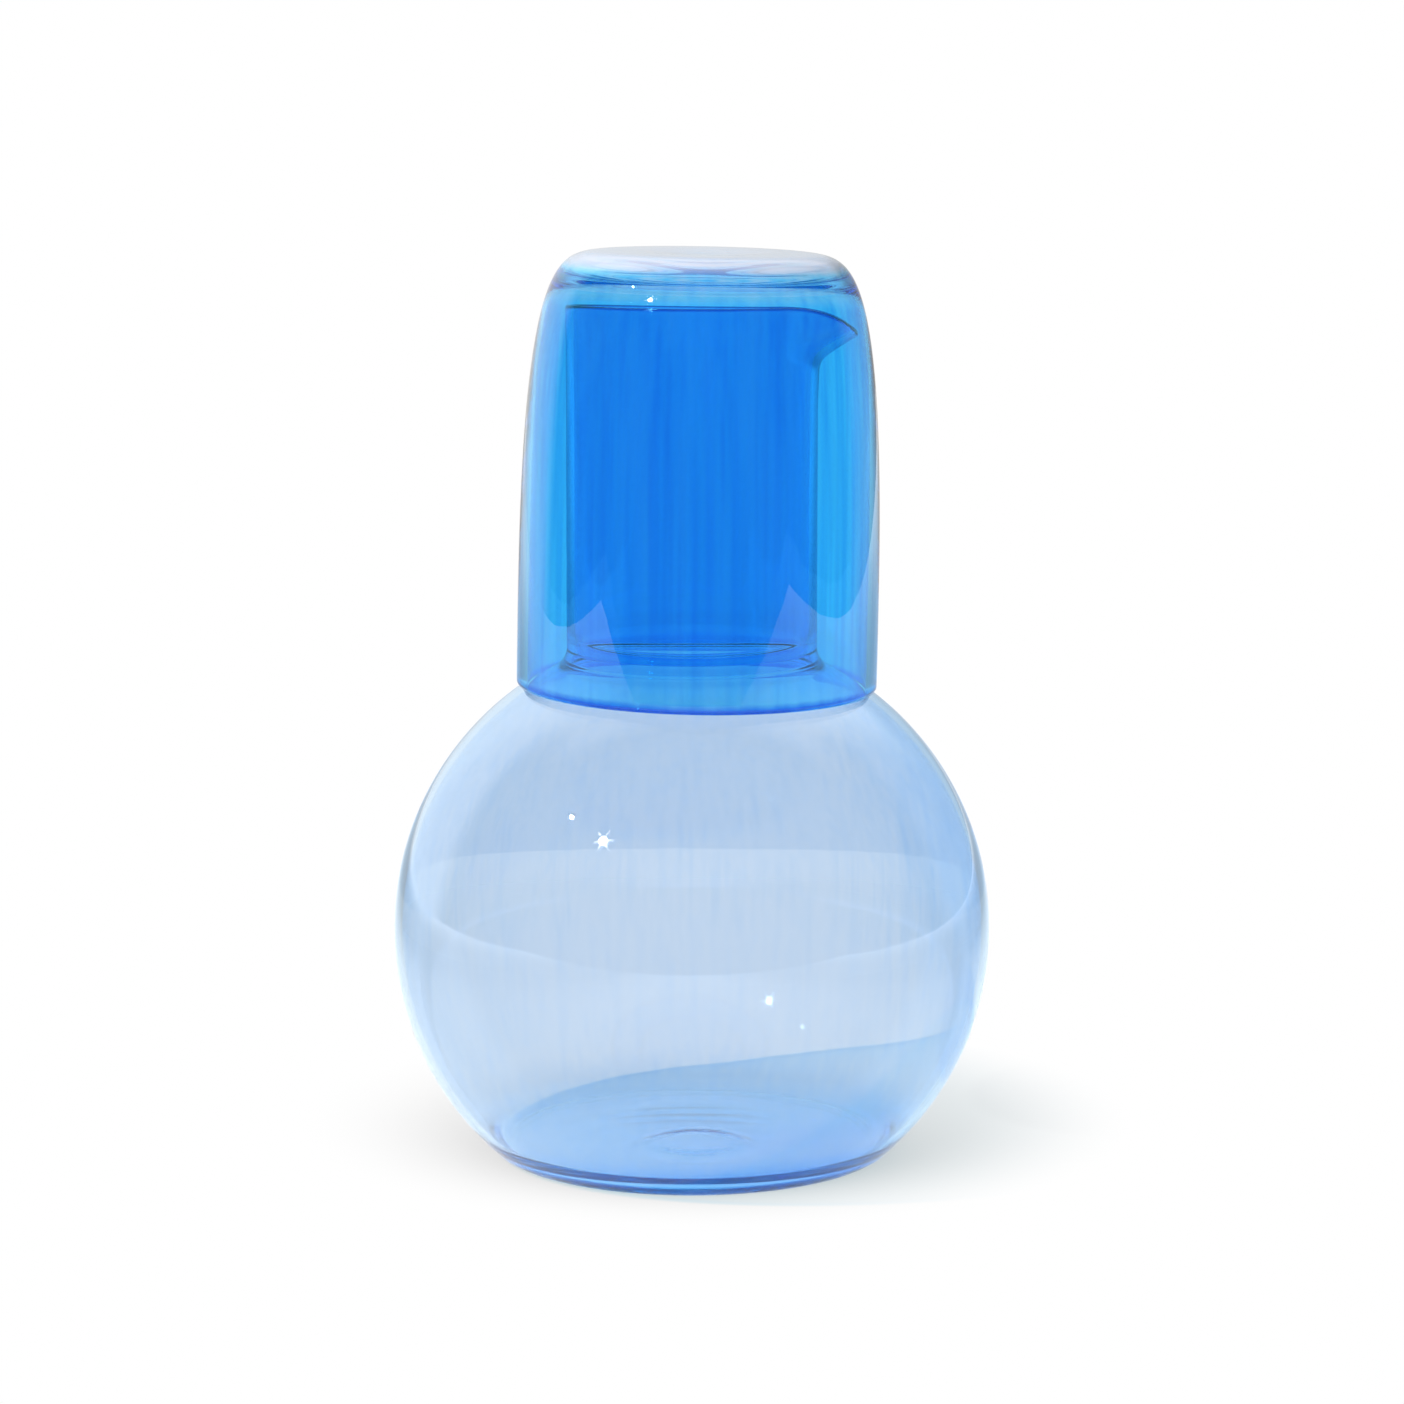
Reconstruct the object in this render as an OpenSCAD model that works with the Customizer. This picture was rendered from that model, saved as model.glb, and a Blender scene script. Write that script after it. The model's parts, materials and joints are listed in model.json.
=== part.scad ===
// Bedside carafe of tinted glass, with its tumbler upside down over the neck.
// Millimetres, +Z up. The origin is the middle of the base, on the table.
// The spout points along +X.

/* [Bulb] */
// Outer radius of the round bulb
bulb_r = 68; // [62:0.5:76]
// Height of the bulb's centre above the table
bulb_centre_h = 51.6; // [46:0.2:58]
// Thickness of the glass in the bulb, neck and spout
carafe_wall = 1.8; // [1.4:0.1:2.4]
// Radius of the heel, where the bulb turns under to the foot
heel_r = 4; // [2:0.5:8]
// Thickness of the glass in the floor of the bulb
floor_t = 3.6; // [3:0.1:5]
// Radius inside the bulb where its wall meets the floor
floor_fillet_r = 9; // [5:0.5:14]

/* [Underside] */
// Width of the flat ring that the carafe stands on
foot_ring_w = 5.8; // [4:0.2:10]
// Height of the slight hollow inside the ring
hollow_h = 0.9; // [0.5:0.1:1.2]
// Radius of the small round kick in the middle of the base
kick_r = 16.3; // [12:0.5:20]
// Height of the kick above the hollow
kick_h = 1.1; // [0.6:0.1:1.4]
// Width of the sloping edge of the kick
kick_edge = 2.4; // [1.5:0.1:4]

/* [Neck] */
// Outer radius of the straight neck
neck_r = 28.4; // [26:0.2:31]
// Height of the neck's rim above the tumbler's rim
neck_rise = 85.6; // [70:0.2:100]
// Outer radius of the curve where the neck joins the bulb
neck_fillet_r = 5; // [3:0.5:7]

/* [Spout] */
// Depth below the rim at which the spout's underside leaves the neck
spout_depth = 12; // [10:0.5:16]
// Drop of the rim at the spout's tip
spout_drop = 6; // [4:0.5:7]
// Distance in from the neck's face to the point that the spout spreads from
spout_root = 11; // [9:0.5:14]
// Half of the angle at which the spout spreads
spout_spread = 36; // [33:1:39]
// Radius of the lip as it curves down to the tip, seen from the side
lip_curve_r = 26; // [22:1:34]
// Gap between the spout's tip and the tumbler's wall
spout_clear = 0.8; // [0.5:0.1:1.5]

/* [Tumbler] */
// Gap all round between the neck and the tumbler's wall at its rim
tumbler_gap = 10; // [9:0.5:12]
// Thickness of the tumbler's wall at its rim
tumbler_wall = 2.4; // [1.8:0.1:3]
// Thickness of the tumbler's base at its middle
tumbler_base_t = 7.6; // [6:0.2:10]
// Gap between the neck's rim and the floor of the tumbler
crown_gap = 4.8; // [4.4:0.2:8]
// Radius of the flat that it stands on when it is the right way up
stand_r = 18; // [15:0.5:21]
// Depth of the hollow in the middle of that flat
stand_hollow_h = 0.8; // [0.4:0.1:1.5]
// Radius of the flat part of its floor, inside
inner_flat_r = 20; // [16:0.5:24]

/* [Seat] */
// Gap between the tumbler's rim and the bulb
seat_gap = 0.25; // [0.2:0.05:0.4]
// Lean of the resting tumbler towards the spout, in degrees
lean_to_spout = 1.1; // [0:0.1:1.4]
// Lean of the resting tumbler to the spout's right, in degrees
lean_to_side = 1; // [0:0.1:1.4]

/* [Hidden] */
$fn = 128;

overrun = 5;
steps = 24;     // straight pieces in each arc
cup_steps = 36; // straight pieces up each side of the tumbler's wall

// Powers of the tumbler's soft shoulder: how late it draws in, and how square it turns
outer_powers = [3, 5];
inner_powers = [4, 6];

// Where the tumbler sits: its round rim rests on the bulb
rim_r = tumbler_wall / 2;
tumbler_in_r = neck_r + tumbler_gap;
tumbler_out_r = tumbler_in_r + tumbler_wall;
seat_h = sqrt(pow(bulb_r + seat_gap + rim_r, 2) - pow(tumbler_in_r + rim_r, 2)) - rim_r;
neck_top_h = bulb_centre_h + seat_h + neck_rise;
tumbler_depth = neck_rise + crown_gap;
tumbler_h = tumbler_depth + tumbler_base_t;

// The spout's tip stops short of the leaning tumbler's wall
tip_h = neck_top_h - spout_drop;
tip_over_centre = tip_h - bulb_centre_h;
tip_up_share = (tip_over_centre - seat_h - rim_r) / (tumbler_depth - rim_r);
tumbler_in_r_at_tip = inner_flat_r + (tumbler_in_r - inner_flat_r)
    * pow(1 - pow(tip_up_share, inner_powers[0]), 1 / inner_powers[1]);
shift_to_spout = tip_over_centre * tan(lean_to_spout);
shift_to_side = tip_over_centre * tan(lean_to_side);
spout_reach = shift_to_spout - spout_clear
    + sqrt(pow(tumbler_in_r_at_tip, 2) - pow(shift_to_side, 2));

// The spout is a cone that starts inside the neck and leans out
spout_slope = atan((spout_reach - neck_r) / (spout_depth - spout_drop));
spout_tilt = spout_slope - spout_spread;
spout_point = [neck_r - spout_root, 0,
               neck_top_h - spout_depth - spout_root / tan(spout_slope)];
spout_length = (neck_top_h - spout_point[2]) * 2;

// The lip's curve passes through the tip and the place where the rim starts to fall
lip_start_x = neck_r - spout_drop;
lip_chord = [spout_reach - lip_start_x, -spout_drop];
lip_rise = sqrt(pow(lip_curve_r, 2) - pow(norm(lip_chord) / 2, 2)) / norm(lip_chord);
lip_centre_x = lip_start_x + lip_chord[0] / 2 + lip_chord[1] * lip_rise;
lip_centre_h = neck_top_h + lip_chord[1] / 2 - lip_chord[0] * lip_rise;

// The bulb's heel: how far out its curve is centred, in from the bulb's side by the inset
function heel_x(inset, flat_h, corner_r) =
    sqrt(pow(bulb_r - inset - corner_r, 2) - pow(flat_h + corner_r - bulb_centre_h, 2));

// Points along an arc, from one angle to another
function arc(centre, r, from, to) =
    [for (i = [0:steps]) let (a = from + (to - from) * i / steps) centre + r * [cos(a), sin(a)]];

// Points up a straight wall that turns softly into a flat, from its rim to the flat
function soft_cup(wall_r, wall_start, flat_r, flat_h, powers) =
    [for (i = [0:cup_steps]) let (a = 90 * i / cup_steps)
        [flat_r + (wall_r - flat_r) * pow(cos(a), 2 / powers[1]),
         wall_start + (flat_h - wall_start) * pow(sin(a), 2 / powers[0])]];

function reversed(list) = [for (i = [len(list) - 1:-1:0]) list[i]];

// One side of the carafe, shrunk by the inset: fillet, then bulb, then the heel above a flat
function carafe_side(inset, flat_h, corner_r) =
    let (r = bulb_r - inset,
         fillet_h = sqrt(pow(bulb_r + neck_fillet_r, 2) - pow(neck_r + neck_fillet_r, 2)),
         fillet_centre = [neck_r + neck_fillet_r, bulb_centre_h + fillet_h],
         fillet_angle = atan2(fillet_h, neck_r + neck_fillet_r),
         turn_x = heel_x(inset, flat_h, corner_r),
         turn_angle = atan2(flat_h + corner_r - bulb_centre_h, turn_x))
    concat(arc(fillet_centre, neck_fillet_r + inset, 180, 180 + fillet_angle),
           arc([0, bulb_centre_h], r, fillet_angle, turn_angle),
           arc([turn_x, flat_h + corner_r], corner_r, turn_angle, -90));

module carafe_outside() {
    hollow_r = heel_x(0, 0, heel_r) - foot_ring_w;
    rotate_extrude()
        polygon(concat([[0, neck_top_h], [neck_r, neck_top_h]],
                       carafe_side(0, 0, heel_r),
                       [[hollow_r, 0], [kick_r, hollow_h],
                        [kick_r - kick_edge, hollow_h + kick_h], [0, hollow_h + kick_h]]));
}

module carafe_inside() {
    bore_r = neck_r - carafe_wall;
    rotate_extrude()
        polygon(concat([[0, neck_top_h + overrun], [bore_r, neck_top_h + overrun]],
                       carafe_side(carafe_wall, floor_t, floor_fillet_r),
                       [[kick_r, floor_t], [kick_r - kick_edge, floor_t + kick_h],
                        [0, floor_t + kick_h]]));
}

// The cone of the spout, moved in along its own axis by the wall for its inside
module spout_cone(inset) {
    translate(spout_point)
        rotate([0, spout_tilt, 0])
            translate([0, 0, inset / sin(spout_spread)])
                cylinder(h = spout_length, r1 = 0, r2 = spout_length * tan(spout_spread));
}

// What the falling lip takes off the top of the spout, from the crest of the lip's curve outwards
module above_lip() {
    size = spout_reach + lip_curve_r;
    difference() {
        translate([lip_centre_x, -size, tip_h - overrun])
            cube([size, 2 * size, spout_length]);
        translate([lip_centre_x, 0, lip_centre_h])
            rotate([90, 0, 0])
                cylinder(h = 3 * size, r = lip_curve_r, center = true);
    }
}

module carafe() {
    color("lightskyblue", 0.5)
        difference() {
            union() {
                carafe_outside();
                intersection() {
                    spout_cone(0);
                    cylinder(h = neck_top_h, r = spout_reach + overrun);
                }
            }
            carafe_inside();
            spout_cone(carafe_wall);
            above_lip();
        }
}

module tumbler() {
    color("dodgerblue", 0.5)
        translate([0, 0, bulb_centre_h])
            rotate([lean_to_side, lean_to_spout, 0])
                translate([0, 0, seat_h])
                    rotate_extrude()
                        polygon(concat(
                            arc([tumbler_in_r + rim_r, rim_r], rim_r, -180, 0),
                            soft_cup(tumbler_out_r, rim_r, stand_r, tumbler_h, outer_powers),
                            [[0, tumbler_h - stand_hollow_h], [0, tumbler_depth]],
                            reversed(soft_cup(tumbler_in_r, rim_r, inner_flat_r, tumbler_depth,
                                              inner_powers))));
}

carafe();
tumbler();
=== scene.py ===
import json
import math

import bpy
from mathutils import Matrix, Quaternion, Vector


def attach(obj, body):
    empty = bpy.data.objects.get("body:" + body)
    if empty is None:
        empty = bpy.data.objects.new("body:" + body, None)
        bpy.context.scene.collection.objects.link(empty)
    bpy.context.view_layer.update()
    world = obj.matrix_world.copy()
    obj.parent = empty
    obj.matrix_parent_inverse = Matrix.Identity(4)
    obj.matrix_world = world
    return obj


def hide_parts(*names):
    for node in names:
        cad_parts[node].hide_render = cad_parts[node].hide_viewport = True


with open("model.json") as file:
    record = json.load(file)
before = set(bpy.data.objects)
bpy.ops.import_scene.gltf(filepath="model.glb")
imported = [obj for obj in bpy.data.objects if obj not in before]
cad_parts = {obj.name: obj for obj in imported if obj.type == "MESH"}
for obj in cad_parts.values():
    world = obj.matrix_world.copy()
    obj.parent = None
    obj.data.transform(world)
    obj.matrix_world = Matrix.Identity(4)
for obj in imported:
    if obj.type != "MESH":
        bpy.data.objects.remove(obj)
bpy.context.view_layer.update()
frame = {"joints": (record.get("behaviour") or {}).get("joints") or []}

# A bedside carafe of pale blue glass, with its deeper blue tumbler upside down over the neck.
# Sizes in the dictionaries are millimetres, as in the CAD, and mm turns them to metres.

mm = 0.001
up = Vector((0, 0, 1))
liftAxis = Vector(frame["joints"][0]["axis"])  # the resting tumbler leans along it
weldGap = 0.002 * mm  # points closer than this are one point


def linearFromHex(code):
    # sRGB hex, as a paint chart gives it, to the linear colour that a shader takes
    values = [int(code[i:i + 2], 16) / 255 for i in (1, 3, 5)]
    return (*(v / 12.92 if v <= 0.04045 else ((v + 0.055) / 1.055) ** 2.4 for v in values), 1)


def grey(value):
    return (value, value, value, 1)


# The camera stands where the photograph was taken, a little above the glass and looking down.

view = {
    "place": (2.29, -900, 238),
    "lookDown": 8.494,       # degrees
    "lens": 102.74,
    "sensor": 36,
    "nearest": 10,
}


def addCamera():
    camera = bpy.data.cameras.new("camera")
    camera.lens = view["lens"]
    camera.sensor_width = view["sensor"]
    camera.clip_start = view["nearest"] * mm
    holder = bpy.data.objects.new("camera", camera)
    holder.location = Vector(view["place"]) * mm
    holder.rotation_euler = (math.radians(90 - view["lookDown"]), 0, 0)
    bpy.context.collection.objects.link(holder)
    bpy.context.scene.camera = holder
    bpy.context.scene.view_settings.view_transform = "Standard"


addCamera()
print("camera placed")


# Drawing an outline as a pen does: each step leaves the new end of the line selected.

def startOutline(name, centre, radius, fromAngle, toAngle, steps):
    # an arc of a circle in the XZ plane, cut to its two angles
    bpy.ops.object.select_all(action="DESELECT")
    place = Vector((centre[0], 0, centre[1])) * mm
    bpy.ops.mesh.primitive_circle_add(
        vertices=round(360 * steps / (toAngle - fromAngle)), radius=radius * mm,
        location=place, rotation=(math.pi / 2, 0, 0))
    piece = bpy.context.object
    piece.name = name
    bpy.ops.object.transform_apply(location=True, rotation=True, scale=True)
    bpy.ops.object.mode_set(mode="EDIT")
    bpy.ops.mesh.select_mode(type="VERT")
    for angle, inner in ((fromAngle, True), (toAngle, False)):
        bpy.ops.mesh.select_all(action="SELECT")
        a = math.radians(angle)
        bpy.ops.mesh.bisect(plane_co=place, plane_no=(-math.sin(a), 0, math.cos(a)),
                            clear_inner=inner, clear_outer=not inner)
    return piece


def pickPoint(piece, point):
    bpy.ops.object.mode_set(mode="OBJECT")
    for part in (piece.data.polygons, piece.data.edges, piece.data.vertices):
        part.foreach_set("select", [False] * len(part))
    target = Vector((point[0], 0, point[1])) * mm
    nearest = min(piece.data.vertices, key=lambda v: (v.co - target).length)
    nearest.select = True
    bpy.ops.object.mode_set(mode="EDIT")
    return nearest.co.x / mm, nearest.co.z / mm


def drawLine(end, *points, cuts=1):
    for point in points:
        step = Vector((point[0] - end[0], 0, point[1] - end[1])) * mm / cuts
        for i in range(cuts):
            bpy.ops.mesh.extrude_vertices_move(TRANSFORM_OT_translate={"value": step})
        end = point
    return end


def drawArc(end, centre, degrees, steps):
    # a positive turn goes from +X towards +Z
    a = math.radians(degrees)
    bpy.ops.mesh.spin(steps=steps, angle=a, axis=(0, 1, 0),
                      center=Vector((centre[0], 0, centre[1])) * mm)
    x, z = end[0] - centre[0], end[1] - centre[1]
    return (centre[0] + x * math.cos(a) - z * math.sin(a),
            centre[1] + x * math.sin(a) + z * math.cos(a))


def spinOutline(steps):
    # the outline turned once round the vertical axis, closed at its seam and its two poles
    bpy.ops.mesh.select_all(action="SELECT")
    bpy.ops.mesh.spin(steps=steps, angle=2 * math.pi, center=(0, 0, 0), axis=(0, 0, 1))
    bpy.ops.mesh.select_all(action="SELECT")
    bpy.ops.mesh.remove_doubles(threshold=weldGap)
    bpy.ops.mesh.normals_make_consistent(inside=False)
    bpy.ops.object.mode_set(mode="OBJECT")
    bpy.ops.object.shade_smooth()


def softStep(start, end, count):
    # points of a soft S from one height to another, as hot glass settles over an edge
    return [(start[0] + (end[0] - start[0]) * i / count,
             start[1] + (end[1] - start[1]) * (1 - math.cos(math.pi * i / count)) / 2)
            for i in range(1, count + 1)]


def easeIn(value, start, end):
    share = min(max((value - start) / (end - start), 0), 1)
    return share * share * (3 - 2 * share)


def evenOut(points, count, turnWeight):
    # the same curve with more points where it turns: turnWeight is millimetres per radian
    walked = [0]
    for i in range(1, len(points)):
        here = Vector(points[i]) - Vector(points[i - 1])
        turn = 0
        if i > 1:
            before = Vector(points[i - 1]) - Vector(points[i - 2])
            turn = abs(before.angle_signed(here)) if here.length and before.length else 0
        walked.append(walked[-1] + here.length + turnWeight * turn)
    picked = []
    j = 1
    for k in range(1, count + 1):
        goal = walked[-1] * k / count
        while j < len(walked) - 1 and walked[j] < goal:
            j += 1
        share = min((goal - walked[j - 1]) / (walked[j] - walked[j - 1]), 1)
        picked.append(tuple(Vector(points[j - 1]).lerp(Vector(points[j]), share)))
    return picked


def writeAttribute(piece, name, values):
    layer = piece.data.attributes.new(name, "FLOAT", "POINT")
    layer.data.foreach_set("value", values)


# The carafe: bulb, straight neck and pouring spout are one wall of blown glass.

carafeSizes = {
    "bulbRadius": 68,
    "bulbHeight": 51.6,      # of its centre
    "wall": 1.8,
    "heelRadius": 6,
    "footRing": 5.8,         # width of the ring that it stands on
    "hollow": 0.4,
    "hollowRun": 34,         # how gently the underside rises into the hollow
    "kickRadius": 14,        # of the shallow push-up, which the maker left off the middle
    "kickHeight": 0.7,
    "kickEdge": 6,
    "kickOffset": (1, -9),
    "kickInside": 1,         # how far above the floor the push-up still moves the glass
    "floor": 3,
    "floorFillet": 13,
    "neckRadius": 28.4,
    "neckFillet": 5,
    "rimHeight": 194.1,
    "spoutBelow": 168,       # nothing under this height belongs to the spout
    "spoutEase": 8,          # and over this much height its fold comes in
    "spoutFrom": 181.2,      # height at which its underside leaves the neck
    "spoutSlope": 1.58,      # how far it goes out for each millimetre up
    "spoutSoft": 1.6,        # how softly it leaves the neck
    "spoutWidth": 0.4,       # radians to each side
    "spoutPoint": 1.6,       # how pointed it is, seen from above
    "lipCentre": (20.87, 170.1),
    "lipRadius": 24,
    "lipPasses": 60,         # passes that find the rim's height along the lip
    "lipShare": 0.4,         # and how far each of them goes
    "bead": 1,               # how far the thick ring at the neck's foot stands inwards
    "beadHeight": 114.5,
    "beadSpread": 2.4,
    "beadReach": (8, 12),    # how far out and up it changes the wall at all
    "straightFrom": 116.5,   # height from which the neck is straight
    "bulbSteps": 80,         # points along each curve and line of the outline
    "turnSteps": 14,
    "heelSteps": 10,
    "ringSteps": 3,
    "hollowSteps": 20,
    "floorSteps": 40,
    "lowNeckSteps": 24,
    "spoutSteps": 44,
    "rings": 200,
    "drawnToSpout": 0.5,     # how much closer the rings stand at the spout
}
carafeColour = {             # how strong the glass's colour is, from 0 to 1, with painted shade deepening the bulb's right side
    "base": 0.5,
    "baseThins": (2, 12),    # heights over which the thick base thins to the wall
    "baseWay": (0.7, -0.71), # the base's colour is deepest towards this side, and faintest away from it
    "baseRun": (-45, 50),
    "baseLeast": 0.25,
    "neck": 0.2,
    "neckFrom": (105, 113),
    "bead": 0.25,
    "beadSpread": 1.6,
    "rim": 1,
    "rimEdge": 0.5,
    "rightPaintedShade": 0.12,       # painted shade: the bulb's colour deepens, and turns bluer, on its right, the spout's side, away from the key light
    "rightPaintedShadeRun": (0, 62),
    "rightPaintedShadeRise": (20, 70),
}


def carafeOutline(c):
    wall = c["wall"]
    centre = (0, c["bulbHeight"])
    neckMid = c["neckRadius"] - wall / 2
    filletX = c["neckRadius"] + c["neckFillet"]
    filletZ = math.sqrt((c["bulbRadius"] + c["neckFillet"]) ** 2 - filletX ** 2)
    fillet = (filletX, c["bulbHeight"] + filletZ)
    filletAngle = math.degrees(math.atan2(filletZ, filletX))

    def turnIn(inset, flat, corner):
        z = flat + corner - c["bulbHeight"]
        x = math.sqrt((c["bulbRadius"] - inset - corner) ** 2 - z ** 2)
        return (x, flat + corner), math.degrees(math.atan2(z, x))

    def onBulb(angle):
        a = math.radians(angle)
        return (c["bulbRadius"] * math.cos(a), c["bulbHeight"] + c["bulbRadius"] * math.sin(a))

    heel, heelAngle = turnIn(0, 0, c["heelRadius"])
    inHeel, inHeelAngle = turnIn(wall, c["floor"], c["floorFillet"])
    piece = startOutline("carafe_glass", centre, c["bulbRadius"], heelAngle, filletAngle,
                         c["bulbSteps"])

    # up the outside of the neck, over the rim and down the inside to the middle of the floor
    end = pickPoint(piece, onBulb(filletAngle))
    end = drawArc(end, fillet, -filletAngle, c["turnSteps"])
    rimCentre = c["rimHeight"] - wall / 2
    end = drawLine(end, (c["neckRadius"], c["spoutBelow"]), cuts=c["lowNeckSteps"])
    end = drawLine(end, (c["neckRadius"], rimCentre), cuts=c["spoutSteps"])
    end = drawArc(end, (neckMid, rimCentre), 180, c["turnSteps"])
    bore = c["neckRadius"] - wall
    end = drawLine(end, (bore, c["spoutBelow"]), cuts=c["spoutSteps"])
    end = drawLine(end, (bore, fillet[1]), cuts=c["lowNeckSteps"])
    end = drawArc(end, fillet, filletAngle, c["turnSteps"])
    end = drawArc(end, centre, inHeelAngle - filletAngle, c["bulbSteps"])
    end = drawArc(end, inHeel, -90 - inHeelAngle, c["turnSteps"])
    drawLine(end, (0, c["floor"]), cuts=c["floorSteps"])

    # the heel and the slightly hollow underside
    end = pickPoint(piece, onBulb(heelAngle))
    end = drawArc(end, heel, -90 - heelAngle, c["heelSteps"])
    end = drawLine(end, (heel[0] - c["footRing"], 0), cuts=c["ringSteps"])
    end = drawLine(end, *softStep(end, (end[0] - c["hollowRun"], c["hollow"]),
                                  c["hollowSteps"]))
    drawLine(end, (0, c["hollow"]), cuts=c["hollowSteps"])
    return piece


def spoutRadius(angle, height, c):
    # how far out the middle of the wall lies: a soft fold that grows with height
    rise = height - c["spoutFrom"]
    out = c["spoutSlope"] * (rise + math.hypot(rise, c["spoutSoft"])) / 2
    fold = math.exp(-(abs(angle) / c["spoutWidth"]) ** c["spoutPoint"])
    below = easeIn(height, c["spoutBelow"], c["spoutBelow"] + c["spoutEase"])
    return c["neckRadius"] - c["wall"] / 2 + out * fold * below


def lipHeight(x, c):
    # the rim falls along a curve towards the tip of the spout
    centreX, centreZ = c["lipCentre"]
    if x < centreX:
        return c["rimHeight"]
    curve = centreZ + math.sqrt(max(c["lipRadius"] ** 2 - (x - centreX) ** 2, 0))
    return min(c["rimHeight"], curve)


def inTheBore(r, z, c):
    # inside the middle of the wall, round the neck's foot
    if z >= c["straightFrom"]:
        return r < c["neckRadius"] - c["wall"] / 2
    return math.hypot(r, z - c["bulbHeight"]) < c["bulbRadius"] - c["wall"] / 2


def pushUpBase(piece, c):
    # the shallow kick, pressed up into the soft floor
    offX, offY = c["kickOffset"]
    for vertex in piece.data.vertices:
        x, y, z = vertex.co / mm
        if z < c["floor"] + c["kickInside"]:
            away = math.hypot(x - offX, y - offY)
            share = min(max((c["kickRadius"] - away) / c["kickEdge"], 0), 1)
            vertex.co.z += c["kickHeight"] * (1 - math.cos(math.pi * share)) / 2 * mm


def pullSpout(piece, c):
    # as a lip is pulled: the top of the soft neck is drawn out and down on one side
    wall = c["wall"]
    neckMid = c["neckRadius"] - wall / 2
    rimCentre = c["rimHeight"] - wall / 2
    start = c["spoutBelow"]
    aside, below = 1e-4, 0.01  # radians and millimetres, to find which way the wall faces
    tops = {}

    def topAt(angle):
        key = round(angle, 6)
        if key not in tops:
            z = rimCentre
            for i in range(c["lipPasses"]):
                x = spoutRadius(angle, z, c) * math.cos(angle)
                z += c["lipShare"] * (lipHeight(x + wall / 4, c) - wall / 2 - z)
            tops[key] = z
        return tops[key]

    def middle(angle, height):
        top = topAt(angle)
        z = start + (height - start) * (top - start) / (rimCentre - start)
        r = spoutRadius(angle, z, c)
        return Vector((r * math.cos(angle), r * math.sin(angle), z))

    for vertex in piece.data.vertices:
        x, y, z = vertex.co / mm
        angle = math.atan2(y, x)
        r = math.hypot(x, y)
        angle -= c["drawnToSpout"] * math.sin(angle)
        angle = math.remainder(angle, 2 * math.pi)
        reachOut, reachUp = c["beadReach"]
        if (r < neckMid + reachOut and abs(z - c["beadHeight"]) < reachUp
                and inTheBore(r, z, c)):
            r -= c["bead"] * math.exp(-((z - c["beadHeight"]) / c["beadSpread"]) ** 2)
        if z <= start:
            vertex.co = Vector((r * math.cos(angle), r * math.sin(angle), z)) * mm
            continue
        height = min(z, rimCentre)
        around = middle(angle + aside, height) - middle(angle - aside, height)
        climb = middle(angle, height) - middle(angle, height - below)
        out = around.cross(climb).normalized()
        upward = out.cross(around).normalized()
        vertex.co = (middle(angle, height) + out * (r - neckMid)
                     + upward * max(z - rimCentre, 0)) * mm
    piece.data.update()


def carafeDepth(place, c, colour):
    # how strong the colour is at a point, before the spout is pulled; on the bulb's right it is
    # deepened as painted shade
    x, y, z = place / mm
    rimCentre = c["rimHeight"] - c["wall"] / 2
    way = x * colour["baseWay"][0] + y * colour["baseWay"][1]
    gathered = colour["baseLeast"] + (1 - colour["baseLeast"]) * easeIn(way, *colour["baseRun"])
    depth = max(colour["base"] * gathered * (1 - easeIn(z, *colour["baseThins"])),
                colour["neck"] * easeIn(z, *colour["neckFrom"]),
                colour["rightPaintedShade"] * easeIn(x, *colour["rightPaintedShadeRun"])
                * easeIn(z, *colour["rightPaintedShadeRise"]))
    depth += colour["bead"] * math.exp(-((z - c["beadHeight"]) / colour["beadSpread"]) ** 2)
    return depth + (colour["rim"] - depth) * easeIn(z, rimCentre, rimCentre + colour["rimEdge"])


def makeCarafe():
    c = carafeSizes
    piece = carafeOutline(c)
    spinOutline(c["rings"])
    depths = [carafeDepth(vertex.co, c, carafeColour) for vertex in piece.data.vertices]
    pullSpout(piece, c)
    pushUpBase(piece, c)
    writeAttribute(piece, "colourDepth", depths)
    return piece


carafe = makeCarafe()
print("carafe modelled:", len(carafe.data.polygons), "faces")


# The tumbler: straight sides, soft square shoulders and a thick base, here on top.

tumblerSizes = {
    "inRadius": 38.4,
    "wall": 2.4,
    "depth": 93.2,           # up to its floor, which is thinner than a pressed glass's
    "height": 98,
    "standRadius": 18,
    "standHollow": 0.8,
    "innerFlat": 20,
    "outerPowers": (2.9, 4.7),  # how late the shoulder draws in, and how square it turns
    "innerPowers": (4, 6),
    "seat": 55.854,          # of its rim above the bulb's centre, along its own axis
    "pivot": 51.6,           # the bulb's centre, round which it leans
    "rimSteps": 14,          # points along each curve and line of the outline
    "outsideSteps": 110,
    "insideSteps": 100,
    "hollowSteps": 14,
    "floorSteps": 8,
    "turnWeight": 14,        # one radian of turn takes as many points as this length of wall
    "curvePoints": 720,      # the fine curve that those points are picked from
    "rings": 224,
}
tumblerColour = {            # from 0 to 1, as for the carafe
    "wall": 0.8,
    "rim": 1,
    "rimFade": (1, 2.5),
    "clearFrom": (93.6, 96.6),  # heights on its own axis, outside
    "clearInside": (85, 92),
    "sheenFrom": (92.5, 95),  # and where its outside takes a painted sheen, a milky whitening
    "outsideFrom": (1, 0.5), # a point this far out or up from its inside is on its outside
}


def softCup(wallRadius, start, flatRadius, flatHeight, powers, count):
    points = []
    for i in range(count + 1):
        a = math.pi / 2 * i / count
        points.append((
            flatRadius + (wallRadius - flatRadius) * max(math.cos(a), 0) ** (2 / powers[1]),
            start + (flatHeight - start) * math.sin(a) ** (2 / powers[0])))
    return points


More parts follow.
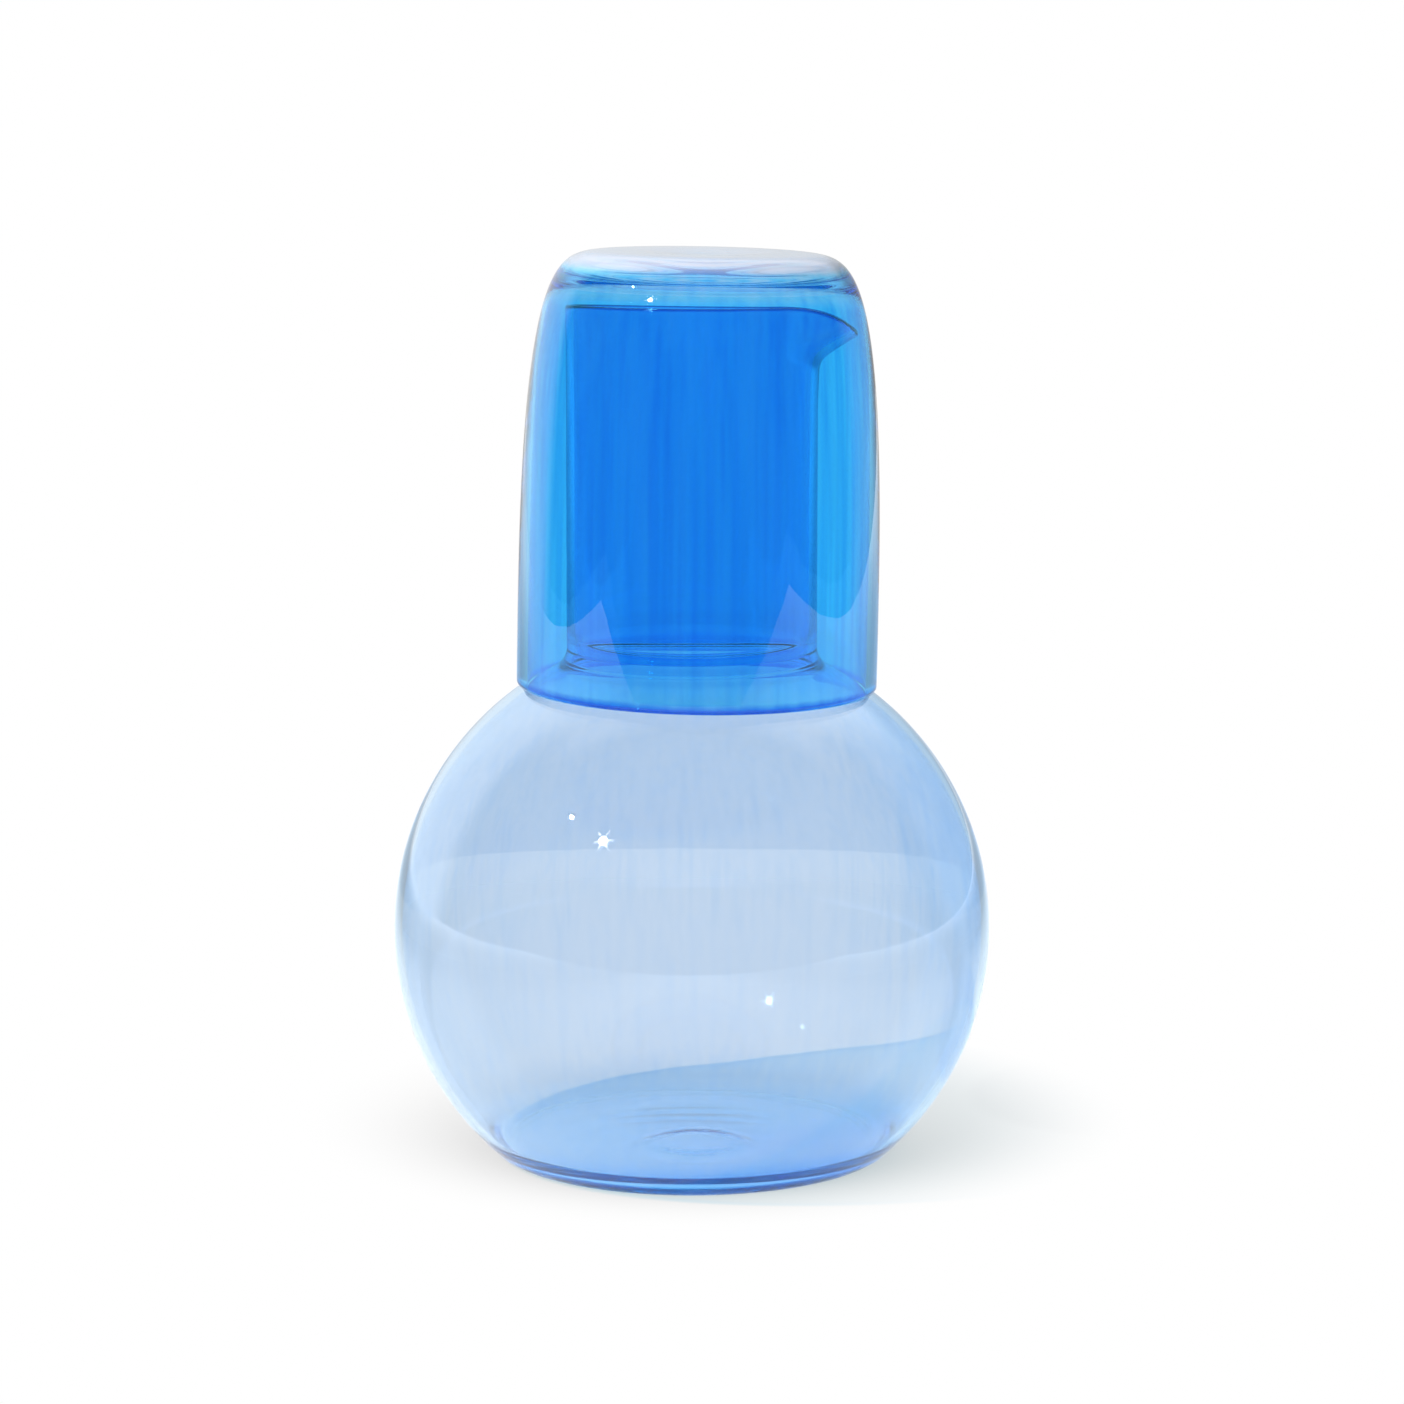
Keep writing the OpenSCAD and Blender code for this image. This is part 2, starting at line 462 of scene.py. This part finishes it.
def tumblerLayers(place, t, colour):
    # at a point, how strong the colour is and how much painted sheen the surface takes
    r, z = place.xy.length / mm, place.z / mm
    rim = t["wall"] / 2
    share = min(max((z - rim) / (t["depth"] - rim), 0), 1)
    inner = t["innerFlat"] + (t["inRadius"] - t["innerFlat"]) * (
        1 - share ** t["innerPowers"][0]) ** (1 / t["innerPowers"][1])
    pastOut, pastUp = colour["outsideFrom"]
    outer = z > t["depth"] + pastUp or r > inner + pastOut
    # the colour lies in the wall and gathers at the rim, and the thick base is nearly clear
    depth = colour["wall"] * (1 - easeIn(z, *colour["clearFrom" if outer else "clearInside"]))
    depth += (colour["rim"] - depth) * (1 - easeIn(z, *colour["rimFade"]))
    return depth, easeIn(z, *colour["sheenFrom"]) if outer else 0


def makeTumbler():
    t = tumblerSizes
    rim = t["wall"] / 2
    piece = startOutline("tumbler_glass", (t["inRadius"] + rim, rim), rim, -180, 0,
                         t["rimSteps"])
    outside = softCup(t["inRadius"] + t["wall"], rim, t["standRadius"], t["height"],
                      t["outerPowers"], t["curvePoints"])
    inside = softCup(t["inRadius"], rim, t["innerFlat"], t["depth"], t["innerPowers"],
                     t["curvePoints"])
    end = pickPoint(piece, outside[0])
    end = drawLine(end, *evenOut(outside, t["outsideSteps"], t["turnWeight"]))
    drawLine(end, *softStep(end, (0, t["height"] - t["standHollow"]), t["hollowSteps"]))
    end = pickPoint(piece, inside[0])
    end = drawLine(end, *evenOut(inside, t["insideSteps"], t["turnWeight"]))
    drawLine(end, (0, t["depth"]), cuts=t["floorSteps"])
    spinOutline(t["rings"])

    layers = [tumblerLayers(vertex.co, t, tumblerColour) for vertex in piece.data.vertices]
    # the colour's strength, and the mask of the painted sheen
    for name, values in zip(("colourDepth", "sheenMask"), zip(*layers)):
        writeAttribute(piece, name, values)

    # lifted to its seat, then leaned over about the middle of the bulb
    piece.rotation_mode = "QUATERNION"
    piece.rotation_quaternion = up.rotation_difference(liftAxis)
    piece.location = Vector((0, 0, t["pivot"] * mm)) + liftAxis * t["seat"] * mm
    bpy.ops.object.transform_apply(location=True, rotation=True, scale=True)
    return piece


tumbler = makeTumbler()
print("tumbler modelled:", len(tumbler.data.polygons), "faces")


# Materials

def node(tree, kind, inputs=None, **settings):
    made = tree.nodes.new(kind)
    for name, value in settings.items():
        setattr(made, name, value)
    for name, value in (inputs or {}).items():
        socket = made.inputs[name]
        if hasattr(value, "node"):
            tree.links.new(value, socket)
        else:
            socket.default_value = value
    return made


paleBlue = {
    "ior": 1.49,             # soda-lime glass is about 1.5
    "thin": "#EAF0FB",       # its colour where the layer is thin, and up to its deepest
    "middle": "#9ED1FD",
    "middleAt": 0.35,
    "deep": "#89B3F7",
    "deepAt": 0.64,
    "edge": "#1950AA",
    "body": "#00E1FE",
    "bodyDensity": 40,
    "grazing": 0.4,          # how much deeper the colour is where the wall is seen edge on
    "streak": 0.04,
    "shade": "#F7FBFE",      # what one wall lets through to the floor, faced and slanting
    "slantShade": "#EAF7FD",
    "paintedSheen": 0,
}
deepBlue = {
    "ior": 1.49,
    "thin": "#E5E7F3",
    "middle": "#C4E2FC",
    "middleAt": 0.4,
    "deep": "#6FD8FF",
    "deepAt": 0.8,
    "edge": "#0095F3",
    "body": "#009CEB",
    "bodyDensity": 6,
    "grazing": 0.35,
    "streak": 0.06,
    "shade": "#CBEAFD",
    "slantShade": "#B3E1FC",
    "paintedSheen": 0.65,            # how milky the painted sheen makes the face that it stands on
}
glassSurface = {
    "ripple": 9,             # millimetres from wave to wave, left by the blowing iron's turning
    "rippleDepth": 0.012,
    "rippleDetail": 1.5,
    "rippleRoughness": 0.4,
    "streakWidth": 2.5,      # millimetres across, drawn out lengthwise with the neck
    "streakLength": 120,
    "streakDetail": 2,
    "streakSpan": (0.3, 0.7),
    "grazingPower": 4,       # how close to edge on a wall must be seen to look deeper
    "plainShade": "#FAFAFA", # of each surface, on the floor that is seen past the glass
    "sheenFacing": (0.05, 0.45),  # how far a face must turn from the eye to show the painted sheen
    "sheenLeast": 0.1,
}
onceOrMore = 0.5             # a ray's count of bounces is above this from its first one


def makeGlass(name, g):
    # Soda-lime glass, blown and fire-polished, with its colour mostly in a thin flashed layer:
    # each wall tints the light once, at whatever slant, and its clear body tints it a little more.
    surface = glassSurface
    material = bpy.data.materials.new(name)
    material.use_nodes = True
    tree = material.node_tree
    tree.nodes.clear()
    place = node(tree, "ShaderNodeTexCoord")
    ripple = node(tree, "ShaderNodeTexNoise",
                  {"Vector": place.outputs["Object"], "Scale": 1 / (surface["ripple"] * mm),
                   "Detail": surface["rippleDetail"], "Roughness": surface["rippleRoughness"]})
    bump = node(tree, "ShaderNodeBump",
                {"Height": ripple.outputs["Fac"], "Strength": 1,
                 "Distance": surface["rippleDepth"] * mm})
    across, along = (1 / (surface[key] * mm) for key in ("streakWidth", "streakLength"))
    drawn = node(tree, "ShaderNodeMapping",
                 {"Vector": place.outputs["Object"], "Scale": (across, across, along)})
    streak = node(tree, "ShaderNodeTexNoise",
                  {"Vector": drawn.outputs["Vector"], "Scale": 1,
                   "Detail": surface["streakDetail"]})
    streaked = node(tree, "ShaderNodeMapRange",
                    {"Value": streak.outputs["Fac"], "From Min": surface["streakSpan"][0],
                     "From Max": surface["streakSpan"][1],
                     "To Min": -g["streak"], "To Max": g["streak"]})
    depth = node(tree, "ShaderNodeAttribute", attribute_name="colourDepth")
    toned = node(tree, "ShaderNodeMath",
                 {0: depth.outputs["Fac"], 1: streaked.outputs["Result"]}, operation="ADD")

    # a ray that enters the wall at a slant goes further through its colour
    slant = node(tree, "ShaderNodeLayerWeight", {"Blend": 0.5})
    edgeOn = node(tree, "ShaderNodeMath",
                  {0: slant.outputs["Facing"], 1: surface["grazingPower"]}, operation="POWER")
    side = node(tree, "ShaderNodeNewGeometry")
    leaving = node(tree, "ShaderNodeMath", {0: g["grazing"], 1: side.outputs["Backfacing"]},
                   operation="MULTIPLY")
    entering = node(tree, "ShaderNodeMath", {0: g["grazing"], 1: leaving.outputs["Value"]},
                    operation="SUBTRACT")
    amount = node(tree, "ShaderNodeMath",
                  {0: edgeOn.outputs["Value"], 1: entering.outputs["Value"],
                   2: toned.outputs["Value"]},
                  operation="MULTIPLY_ADD", use_clamp=True)
    layer = node(tree, "ShaderNodeValToRGB", {"Fac": amount.outputs["Value"]})
    layer.color_ramp.elements[0].color = linearFromHex(g["thin"])
    layer.color_ramp.elements[1].color = linearFromHex(g["edge"])
    for stop in ("middle", "deep"):
        layer.color_ramp.elements.new(g[stop + "At"]).color = linearFromHex(g[stop])
    glass = node(tree, "ShaderNodeBsdfPrincipled",
                 {"Base Color": layer.outputs["Color"], "Roughness": 0, "IOR": g["ior"],
                  "Transmission Weight": 1, "Normal": bump.outputs["Normal"]})
    if g["paintedSheen"]:
        # painted sheen on the face that it stands on when it is turned up to drink from: it goes
        # milky where it is seen edge on, in place of a grazing reflection
        sheenMask = node(tree, "ShaderNodeAttribute", attribute_name="sheenMask")
        turned = node(tree, "ShaderNodeMapRange",
                      {"Value": slant.outputs["Facing"],
                       "From Min": surface["sheenFacing"][0],
                       "From Max": surface["sheenFacing"][1],
                       "To Min": -surface["sheenLeast"] * g["paintedSheen"], "To Max": -g["paintedSheen"]})
        unsheened = node(tree, "ShaderNodeMath",
                      {0: sheenMask.outputs["Fac"], 1: turned.outputs["Result"], 2: 1.0},
                      operation="MULTIPLY_ADD")
        clear = node(tree, "ShaderNodeMath",
                     {0: unsheened.outputs["Value"], 1: side.outputs["Backfacing"]},
                     operation="MAXIMUM")
        tree.links.new(clear.outputs["Value"], glass.inputs["Transmission Weight"])

    # light goes straight through to the floor, blue where the floor is seen through the glass
    passing = node(tree, "ShaderNodeMix",
                   {"Factor": slant.outputs["Facing"], "A": linearFromHex(g["shade"]),
                    "B": linearFromHex(g["slantShade"])}, data_type="RGBA")
    rays = node(tree, "ShaderNodeLightPath")
    seenPast = node(tree, "ShaderNodeMath",
                    {0: rays.outputs["Transmission Depth"], 1: onceOrMore},
                    operation="LESS_THAN")
    shade = node(tree, "ShaderNodeMix",
                 {"Factor": seenPast.outputs["Value"], "A": passing.outputs["Result"],
                  "B": linearFromHex(surface["plainShade"])}, data_type="RGBA")
    through = node(tree, "ShaderNodeBsdfTransparent", {"Color": shade.outputs["Result"]})
    either = node(tree, "ShaderNodeMixShader",
                  {"Fac": rays.outputs["Is Shadow Ray"], 1: glass.outputs["BSDF"],
                   2: through.outputs["BSDF"]})
    body = node(tree, "ShaderNodeVolumeAbsorption",
                {"Color": linearFromHex(g["body"]), "Density": g["bodyDensity"]})
    node(tree, "ShaderNodeOutputMaterial",
         {"Surface": either.outputs["Shader"], "Volume": body.outputs["Volume"]})
    return material


for piece, name, g in ((carafe, "flashedPaleBlueGlass", paleBlue),
                       (tumbler, "flashedDeepBlueGlass", deepBlue)):
    piece.data.materials.clear()
    piece.data.materials.append(makeGlass(name, g))

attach(carafe, "carafe")
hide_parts("carafe")
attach(tumbler, "tumbler")
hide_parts("tumbler")
print("glass made")


# The studio: a white table under a soft white sky, with one key light from the left.

floorSizes = {
    "back": 3000,
    "front": 540,            # how far towards the camera the white table goes
    "left": 1050,
    "right": 850,
    "tableEnd": 384,         # and how far behind the glass, where the pale wall starts
    "down": 0.05,            # a hair below the base ring
}
floorLooks = {
    "seenMiddle": (5, 30),   # the table as the camera sees it turns to white round here
    "seenWhite": (57, 100),
    "mirroredWhite": (170, 330),
    "white": 0.8,
    "lift": 0.2,             # light that the room's other walls would give the table
    "wall": "#ECF1F7",
    "wallTop": (700, 1100),  # on the floor plane behind, where its upper part turns to white
    "mirrored": 1.3,         # how bright the sunlit table is in reflections
    "mirroredInside": 1.2,   # and in those inside the glass
    "sides": ((0.08, 1), (0.24, 0.5), (0.45, 0.5), (0.8, 1.0)),  # by metres from its middle
    "footLift": 0.28,        # light that gets round to the table under the glass
    "footMiddle": (0, -20),
    "footRun": (35, 85),
}


def makeFloor():
    bpy.ops.object.select_all(action="DESELECT")
    back, front, left, right, down = (
        floorSizes[key] * mm for key in ("back", "front", "left", "right", "down"))
    bpy.ops.mesh.primitive_plane_add(
        size=1, location=((right - left) / 2, (back - front) / 2, -down))
    floor = bpy.context.object
    floor.name = "floor"
    floor.scale = (left + right, back + front, 1)
    bpy.ops.object.transform_apply(location=True, rotation=True, scale=True)

    # matt white card, which holds the shadow near the glass and is pure white further off
    f = floorLooks
    material = bpy.data.materials.new("matteWhiteCard")
    material.use_nodes = True
    tree = material.node_tree
    tree.nodes.clear()
    place = node(tree, "ShaderNodeTexCoord")
    parts = node(tree, "ShaderNodeSeparateXYZ", {"Vector": place.outputs["Object"]})
    rays = node(tree, "ShaderNodeLightPath")
    fades = []
    for middle, ends, values in (((0, 0), f["mirroredWhite"], (0, 1)),
                                 (f["seenMiddle"], f["seenWhite"], (0, 1)),
                                 (f["footMiddle"], f["footRun"], (f["footLift"], 0))):
        away = node(tree, "ShaderNodeVectorMath",
                    {0: place.outputs["Object"], 1: (middle[0] * mm, middle[1] * mm, 0)},
                    operation="DISTANCE")
        fades.append(node(tree, "ShaderNodeMapRange",
                          {"Value": away.outputs["Value"], "From Min": ends[0] * mm,
                           "From Max": ends[1] * mm, "To Min": values[0],
                           "To Max": values[1]},
                          interpolation_type="SMOOTHSTEP").outputs["Result"])
    mirroredFade, seenFade, footLight = fades
    fade = node(tree, "ShaderNodeMix",
                {"Factor": rays.outputs["Is Camera Ray"], "A": mirroredFade, "B": seenFade},
                data_type="FLOAT")

    # far off it is white, and in reflections a pale wall stands behind the table
    past = node(tree, "ShaderNodeMath",
                {0: parts.outputs["Y"], 1: floorSizes["tableEnd"] * mm},
                operation="GREATER_THAN")
    unseen = node(tree, "ShaderNodeMath", {0: 1.0, 1: rays.outputs["Is Camera Ray"]},
                  operation="SUBTRACT")
    wallPart = node(tree, "ShaderNodeMath",
                    {0: past.outputs["Value"], 1: unseen.outputs["Value"]},
                    operation="MULTIPLY")
    upper = node(tree, "ShaderNodeMapRange",
                 {"Value": parts.outputs["Y"], "From Min": f["wallTop"][0] * mm,
                  "From Max": f["wallTop"][1] * mm}, interpolation_type="SMOOTHSTEP")
    wall = node(tree, "ShaderNodeMix",
                {"Factor": upper.outputs["Result"], "A": linearFromHex(f["wall"]),
                 "B": grey(1)}, data_type="RGBA")
    colour = node(tree, "ShaderNodeMix",
                  {"Factor": wallPart.outputs["Value"], "A": grey(1),
                   "B": wall.outputs["Result"]}, data_type="RGBA")

    # how bright it is in reflections
    bounced = node(tree, "ShaderNodeMath",
                   {0: rays.outputs["Glossy Depth"], 1: onceOrMore}, operation="GREATER_THAN")
    seenThrough = node(tree, "ShaderNodeMath",
                       {0: rays.outputs["Transmission Depth"], 1: onceOrMore},
                       operation="GREATER_THAN")
    sunlit = node(tree, "ShaderNodeMix",
                  {"Factor": seenThrough.outputs["Value"], "A": f["mirrored"],
                   "B": f["mirroredInside"]}, data_type="FLOAT")
    aside = node(tree, "ShaderNodeMath", {0: parts.outputs["X"]}, operation="ABSOLUTE")
    sides = node(tree, "ShaderNodeValToRGB", {"Fac": aside.outputs["Value"]})
    first, *between, last = f["sides"]
    for stop, (position, light) in zip(sides.color_ramp.elements, (first, last)):
        stop.position, stop.color = position, grey(light)
    for position, light in between:
        sides.color_ramp.elements.new(position).color = grey(light)
    mirrored = node(tree, "ShaderNodeMath",
                    {0: sunlit.outputs["Result"], 1: sides.outputs["Color"]},
                    operation="MULTIPLY")
    strength = node(tree, "ShaderNodeMix",
                    {"Factor": bounced.outputs["Value"], "A": 1.0,
                     "B": mirrored.outputs["Value"]}, data_type="FLOAT")

    # near the glass it is lit as card is, and under the glass a little more
    tone = node(tree, "ShaderNodeMath", {0: strength.outputs["Result"], 1: f["white"]},
                operation="MULTIPLY")
    matt = node(tree, "ShaderNodeBsdfDiffuse", {"Color": tone.outputs["Value"]})
    lifted = node(tree, "ShaderNodeMath",
                  {0: footLight, 1: seenThrough.outputs["Value"], 2: f["lift"]},
                  operation="MULTIPLY_ADD")
    lift = node(tree, "ShaderNodeEmission",
                {"Color": grey(1), "Strength": lifted.outputs["Value"]})
    near = node(tree, "ShaderNodeAddShader",
                {0: matt.outputs["BSDF"], 1: lift.outputs["Emission"]})
    far = node(tree, "ShaderNodeEmission",
               {"Color": colour.outputs["Result"], "Strength": strength.outputs["Result"]})
    faded = node(tree, "ShaderNodeMixShader",
                 {"Fac": fade.outputs["Result"], 1: near.outputs["Shader"],
                  2: far.outputs["Emission"]})
    shown = node(tree, "ShaderNodeMixShader",
                 {"Fac": rays.outputs["Is Diffuse Ray"], 1: faded.outputs["Shader"],
                  2: matt.outputs["BSDF"]})
    node(tree, "ShaderNodeOutputMaterial", {"Surface": shown.outputs["Shader"]})
    floor.data.materials.append(material)


sky = {                      # how bright each part is: 1 is white
    "soft": 0.42,            # on matt things
    "front": 0.03,           # the rest in reflections
    "left": 1.1,
    "right": 0.4,
    "panel": 1.1,            # the soft panel above and behind, which whitens the tumbler's top
    "frontThrough": 0.5,     # and through the glass
    "white": 1,
    "backRun": (0.28, 0.52), # how far round from the side the bright wall reaches
    "sideRun": (-0.5, 0.5),
    "panelWide": (0.7, 0.45),
    "panelBack": (0, 0.2),
    "panelUp": (0.3, 0.5),
}


def makeSky():
    # a bright wall behind the glass and a dimmer room in front; the background itself is white
    world = bpy.data.worlds.new("studioSky")
    bpy.context.scene.world = world
    world.use_nodes = True
    tree = world.node_tree
    tree.nodes.clear()
    way = node(tree, "ShaderNodeTexCoord")
    parts = node(tree, "ShaderNodeSeparateXYZ", {"Vector": way.outputs["Generated"]})
    rays = node(tree, "ShaderNodeLightPath")
    wide = node(tree, "ShaderNodeMath", {0: parts.outputs["X"]}, operation="ABSOLUTE")
    share = {}
    for name, socket in (("backRun", parts.outputs["Y"]), ("sideRun", parts.outputs["X"]),
                         ("panelWide", wide.outputs["Value"]),
                         ("panelBack", parts.outputs["Y"]), ("panelUp", parts.outputs["Z"])):
        share[name] = node(tree, "ShaderNodeMapRange",
                           {"Value": socket, "From Min": sky[name][0],
                            "From Max": sky[name][1]},
                           interpolation_type="SMOOTHSTEP").outputs["Result"]
    panel = share["panelWide"]
    for name in ("panelBack", "panelUp"):
        panel = node(tree, "ShaderNodeMath", {0: panel, 1: share[name]},
                     operation="MULTIPLY").outputs["Value"]

    # each line mixes two lights before it into a new one
    light = {name: grey(sky[name])
             for name in ("soft", "front", "left", "right", "panel", "frontThrough", "white")}
    for name, factor, first, second in (
            ("wall", share["sideRun"], "left", "right"),
            ("room", share["backRun"], "front", "wall"),
            ("mirrored", panel, "room", "panel"),
            ("through", share["backRun"], "frontThrough", "white"),
            ("onGlass", rays.outputs["Is Glossy Ray"], "soft", "mirrored"),
            ("inGlass", rays.outputs["Is Transmission Ray"], "onGlass", "through"),
            ("seen", rays.outputs["Is Camera Ray"], "inGlass", "white")):
        light[name] = node(tree, "ShaderNodeMix",
                           {"Factor": factor, "A": light[first], "B": light[second]},
                           data_type="RGBA").outputs["Result"]
    background = node(tree, "ShaderNodeBackground", {"Color": light["seen"], "Strength": 1})
    node(tree, "ShaderNodeOutputWorld", {"Surface": background.outputs["Background"]})


lamps = {
    "keyFrom": (-0.667, -0.3025, 0.681),
    "keyStrength": 2.77,
    "keyWidth": 1.2,         # degrees, which is how soft its shadow is
    "sparkFrom": (-0.53, -0.593, 0.605),
    "sparkWay": 1200,
    "sparkUp": 100,
    "sparkSize": 65,
    "sparkPower": 0.8,
    "rayLength": 180,
    "rayWidth": 6,
    "rayTurns": (20, 80, 140),
    "rayPower": 0.05,
}


def makeLights():
    key = bpy.data.lights.new("key", "SUN")
    key.energy = lamps["keyStrength"]
    key.angle = math.radians(lamps["keyWidth"])
    holder = bpy.data.objects.new("key", key)
    holder.rotation_mode = "QUATERNION"
    holder.rotation_quaternion = Vector(lamps["keyFrom"]).to_track_quat("Z", "Y")
    bpy.context.collection.objects.link(holder)

    # the glint of the key, which only the glass shows: a small disc with six fine rays
    toward = Vector(lamps["sparkFrom"]).normalized()
    shapes = [("DISK", lamps["sparkSize"], lamps["sparkSize"], lamps["sparkPower"], 0)]
    shapes += [("ELLIPSE", lamps["rayLength"], lamps["rayWidth"], lamps["rayPower"], turn)
               for turn in lamps["rayTurns"]]
    for i, (shape, length, width, power, turn) in enumerate(shapes):
        spark = bpy.data.lights.new(f"spark{i}", "AREA")
        spark.shape = shape
        spark.size = length * mm
        if shape == "ELLIPSE":
            spark.size_y = width * mm
        spark.energy = power
        holder = bpy.data.objects.new(f"spark{i}", spark)
        holder.rotation_mode = "QUATERNION"
        holder.rotation_quaternion = (toward.to_track_quat("Z", "Y")
                                      @ Quaternion((0, 0, 1), math.radians(turn)))
        holder.location = (toward * (lamps["sparkWay"] + i) + up * lamps["sparkUp"]) * mm
        holder.visible_diffuse = False
        bpy.context.collection.objects.link(holder)


makeFloor()
makeSky()
makeLights()

# enough for light that goes round inside both glasses, with no caustics to speckle the floor
bounces = {
    "max_bounces": 48,
    "transmission_bounces": 48,
    "glossy_bounces": 48,
    "transparent_max_bounces": 32,
    "caustics_reflective": False,
    "caustics_refractive": False,
}
for name, value in bounces.items():
    setattr(bpy.context.scene.cycles, name, value)
print("studio lit")
